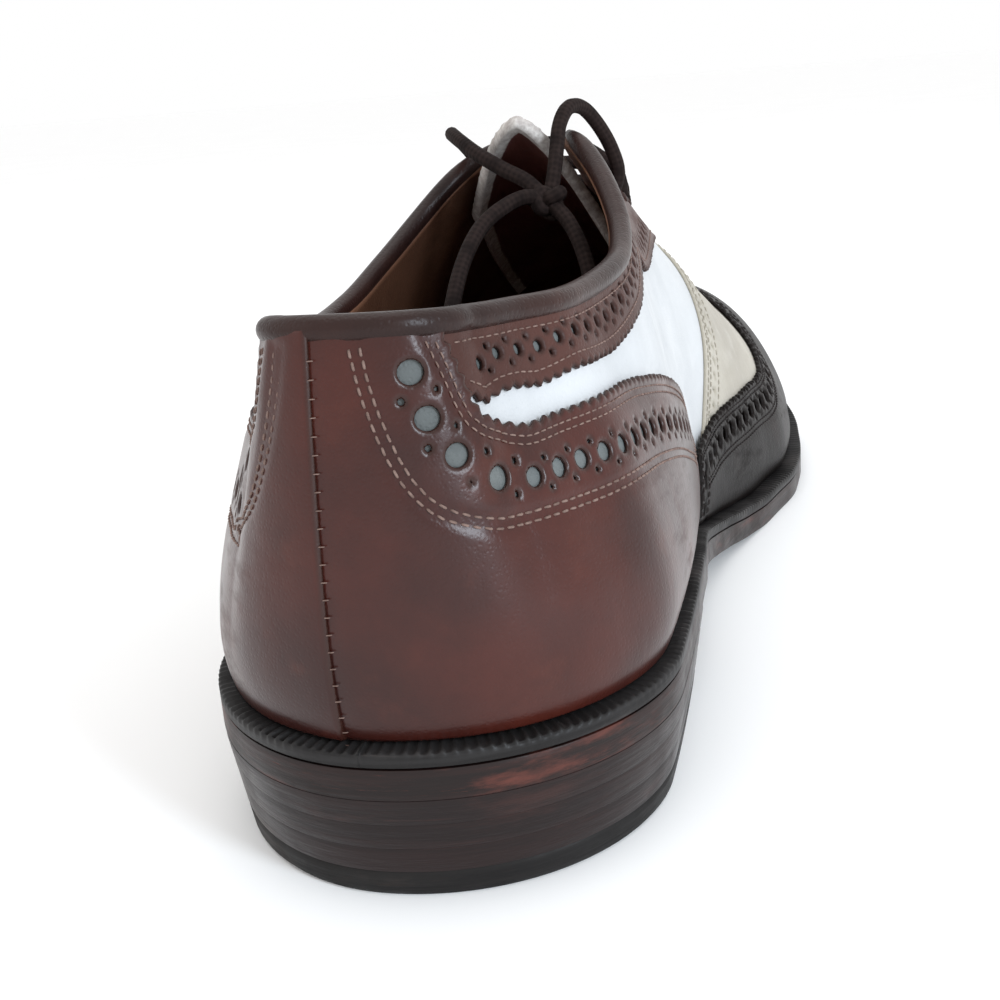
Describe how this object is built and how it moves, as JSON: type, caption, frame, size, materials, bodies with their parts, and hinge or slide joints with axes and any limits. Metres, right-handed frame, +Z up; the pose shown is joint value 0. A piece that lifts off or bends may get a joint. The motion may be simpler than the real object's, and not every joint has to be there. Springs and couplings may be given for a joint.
{
  "type": "spectator oxford shoe",
  "caption": "Left full-brogue spectator Oxford, brown heel foxing and lace stay over white quarters, dark wingtip, laces tied and tucked inside, standing empty.",
  "frame": {"origin": "middle of the underside of the bounding box, on the floor", "axes": "+Z up; the toe points along -Y and the heel along +Y; +X is the outer side of the foot"},
  "size_m": [0.1114, 0.306, 0.1108],
  "materials": {
    "rubber": "matte, worn",
    "edge_leather": "polished dark brown edge, scratched",
    "welt_leather": "dark grey, notched",
    "lining_leather": "tan, matte",
    "white_leather": "satin off-white",
    "brown_leather": "glossy mahogany brown",
    "dark_leather": "glossy espresso brown",
    "binding_leather": "satin dark brown",
    "lace_cotton": "matte woven round lace"
  },
  "bodies": {
    "root": {"top_lift": "rubber", "heel_lift_1": "edge_leather", "heel_lift_2": "edge_leather", "heel_lift_3": "edge_leather", "outsole": "edge_leather", "welt": "welt_leather", "insole": "lining_leather", "upper": "white_leather", "foxing_inner": "brown_leather", "foxing_outer": "brown_leather", "stay_inner": "brown_leather", "stay_outer": "brown_leather", "wingtip": "dark_leather", "topline_binding": "binding_leather", "tongue": "lining_leather", "lace_bar_1": "lace_cotton", "lace_bar_2": "lace_cotton", "lace_bar_3": "lace_cotton", "lace_bar_4": "lace_cotton", "lace_arch_inner": "lace_cotton", "lace_arch_outer": "lace_cotton", "lace_knot": "lace_cotton", "lace_tail_long": "lace_cotton", "lace_tail_short": "lace_cotton"}
  },
  "joints": []
}
